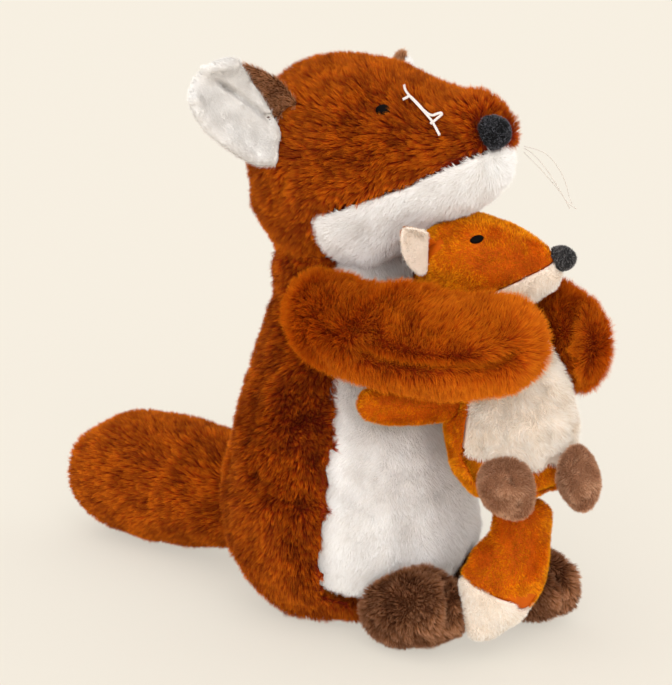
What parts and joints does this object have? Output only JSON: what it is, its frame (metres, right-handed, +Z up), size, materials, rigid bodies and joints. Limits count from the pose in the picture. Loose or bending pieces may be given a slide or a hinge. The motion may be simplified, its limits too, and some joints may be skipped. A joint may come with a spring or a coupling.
{
  "type": "plush fox",
  "caption": "Seated long-pile plush fox that hugs a short-pile kit on its lap, with sewn limbs, ears and a thick tail that bend at their seams",
  "frame": {"origin": "The middle of the flat seat, on the floor under the fox's body.", "axes": "+Z is up, the fox faces -Y, and +X is the fox's left."},
  "size_m": [0.1438, 0.2765, 0.2243],
  "materials": {
    "fur": "long orange pile",
    "white_fur": "long white pile",
    "brown_fur": "short dark brown pile",
    "velour": "short orange pile",
    "cream_velour": "short cream pile",
    "taupe_velour": "short taupe pile",
    "felt": "matted dark wool",
    "stitch": "satin stitches in dark thread",
    "thread": "soft white thread",
    "nylon": "clear nylon thread",
    "filling": "loose fibre filling",
    "beans": "cotton pouch of pellets"
  },
  "bodies": {
    "torso": {"body_cover": "fur", "belly_panel": "white_fur", "body_filling": "filling", "bean_pouch": "beans", "kit_body_cover": "velour", "kit_belly_panel": "cream_velour", "kit_body_filling": "filling"},
    "head": {"head_cover": "fur", "chin_panel": "white_fur", "head_filling": "filling", "nose": "felt", "right_eye": "stitch", "left_eye": "stitch", "right_whiskers": "thread", "left_whiskers": "nylon"},
    "right_ear": {"right_ear_back": "brown_fur", "right_ear_lining": "white_fur"},
    "left_ear": {"left_ear_back": "brown_fur", "left_ear_lining": "white_fur"},
    "right_arm": {"right_arm_cover": "fur", "right_arm_filling": "filling"},
    "left_arm": {"left_arm_cover": "fur", "left_arm_filling": "filling"},
    "right_foot": {"right_foot_cover": "brown_fur", "right_foot_filling": "filling"},
    "left_foot": {"left_foot_cover": "brown_fur", "left_foot_filling": "filling"},
    "tail": {"tail_cover": "fur", "tail_filling": "filling"},
    "kit_head": {"kit_head_cover": "velour", "kit_chin_panel": "cream_velour", "kit_head_filling": "filling", "kit_nose": "felt", "kit_right_eye": "stitch", "kit_left_eye": "stitch"},
    "kit_right_ear": {"kit_right_ear_back": "velour", "kit_right_ear_lining": "cream_velour"},
    "kit_left_ear": {"kit_left_ear_back": "velour", "kit_left_ear_lining": "cream_velour"},
    "kit_right_arm": {"kit_right_arm_cover": "velour", "kit_right_arm_filling": "filling"},
    "kit_left_arm": {"kit_left_arm_cover": "velour", "kit_left_arm_filling": "filling"},
    "kit_right_foot": {"kit_right_foot_cover": "taupe_velour", "kit_right_foot_filling": "filling"},
    "kit_left_foot": {"kit_left_foot_cover": "taupe_velour", "kit_left_foot_filling": "filling"},
    "kit_tail": {"kit_tail_cover": "velour", "kit_tail_tip": "cream_velour", "kit_tail_filling": "filling"}
  },
  "joints": [
    {"name": "neck_nod", "type": "hinge", "parent": "torso", "child": "head", "pos_m": [0, 0.004, 0.15], "axis": [1, 0, 0], "range_deg": [-15, 0]},
    {"name": "right_ear_flap", "type": "hinge", "parent": "head", "child": "right_ear", "pos_m": [-0.036, 0.003, 0.198], "axis": [-0.4018, 0.224, -0.8879], "range_deg": [-15, 15], "stiffness_Nm_per_rad": 0.03},
    {"name": "left_ear_flap", "type": "hinge", "parent": "head", "child": "left_ear", "pos_m": [0.036, 0.009, 0.19], "axis": [-0.3312, -0.1847, 0.9253], "range_deg": [-15, 15], "stiffness_Nm_per_rad": 0.03},
    {"name": "right_arm_open", "type": "hinge", "parent": "torso", "child": "right_arm", "pos_m": [-0.025, 0, 0.125], "axis": [0, 0, 1], "range_deg": [-40, 0], "stiffness_Nm_per_rad": 0.02},
    {"name": "left_arm_open", "type": "hinge", "parent": "torso", "child": "left_arm", "pos_m": [0.025, 0, 0.125], "axis": [0, 0, 1], "range_deg": [0, 40], "stiffness_Nm_per_rad": 0.02},
    {"name": "right_foot_lift", "type": "hinge", "parent": "torso", "child": "right_foot", "pos_m": [-0.02, -0.042, 0.0155], "axis": [1, 0, 0], "range_deg": [-18, 0]},
    {"name": "left_foot_lift", "type": "hinge", "parent": "torso", "child": "left_foot", "pos_m": [0.026, -0.041, 0.0155], "axis": [1, 0, 0], "range_deg": [-18, 0]},
    {"name": "tail_sway", "type": "hinge", "parent": "torso", "child": "tail", "pos_m": [0.009, 0.05, 0.033], "axis": [0, 0, 1], "range_deg": [-12, 12], "stiffness_Nm_per_rad": 0.02},
    {"name": "kit_head_turn", "type": "hinge", "parent": "torso", "child": "kit_head", "pos_m": [0.005, -0.068, 0.134], "axis": [0, 0, 1], "range_deg": [-8, 8], "stiffness_Nm_per_rad": 0.01},
    {"name": "kit_right_ear_flap", "type": "hinge", "parent": "kit_head", "child": "kit_right_ear", "pos_m": [-0.01533, -0.05006, 0.152], "axis": [-0.538, 0.5591, -0.6309], "range_deg": [-12, 12], "stiffness_Nm_per_rad": 0.01},
    {"name": "kit_left_ear_flap", "type": "hinge", "parent": "kit_head", "child": "kit_left_ear", "pos_m": [0.00633, -0.03756, 0.152], "axis": [0.2152, -0.7454, 0.6309], "range_deg": [-12, 12], "stiffness_Nm_per_rad": 0.01},
    {"name": "kit_right_arm_swing", "type": "hinge", "parent": "torso", "child": "kit_right_arm", "pos_m": [-0.016, -0.063, 0.099], "axis": [0, 0, 1], "range_deg": [-12, 0], "stiffness_Nm_per_rad": 0.003},
    {"name": "kit_left_arm_swing", "type": "hinge", "parent": "torso", "child": "kit_left_arm", "pos_m": [0.023, -0.074, 0.085], "axis": [0, 0, 1], "range_deg": [0, 12], "stiffness_Nm_per_rad": 0.003},
    {"name": "kit_right_foot_lift", "type": "hinge", "parent": "torso", "child": "kit_right_foot", "pos_m": [-0.02063, -0.09171, 0.077], "axis": [0.8192, -0.5736, 0], "range_deg": [-15, 0]},
    {"name": "kit_left_foot_lift", "type": "hinge", "parent": "torso", "child": "kit_left_foot", "pos_m": [-0.00261, -0.10433, 0.077], "axis": [0.8192, -0.5736, 0], "range_deg": [-15, 0]},
    {"name": "kit_tail_lift", "type": "hinge", "parent": "torso", "child": "kit_tail", "pos_m": [0.002, -0.073, 0.064], "axis": [1, 0, 0], "range_deg": [-15, 0]}
  ]
}
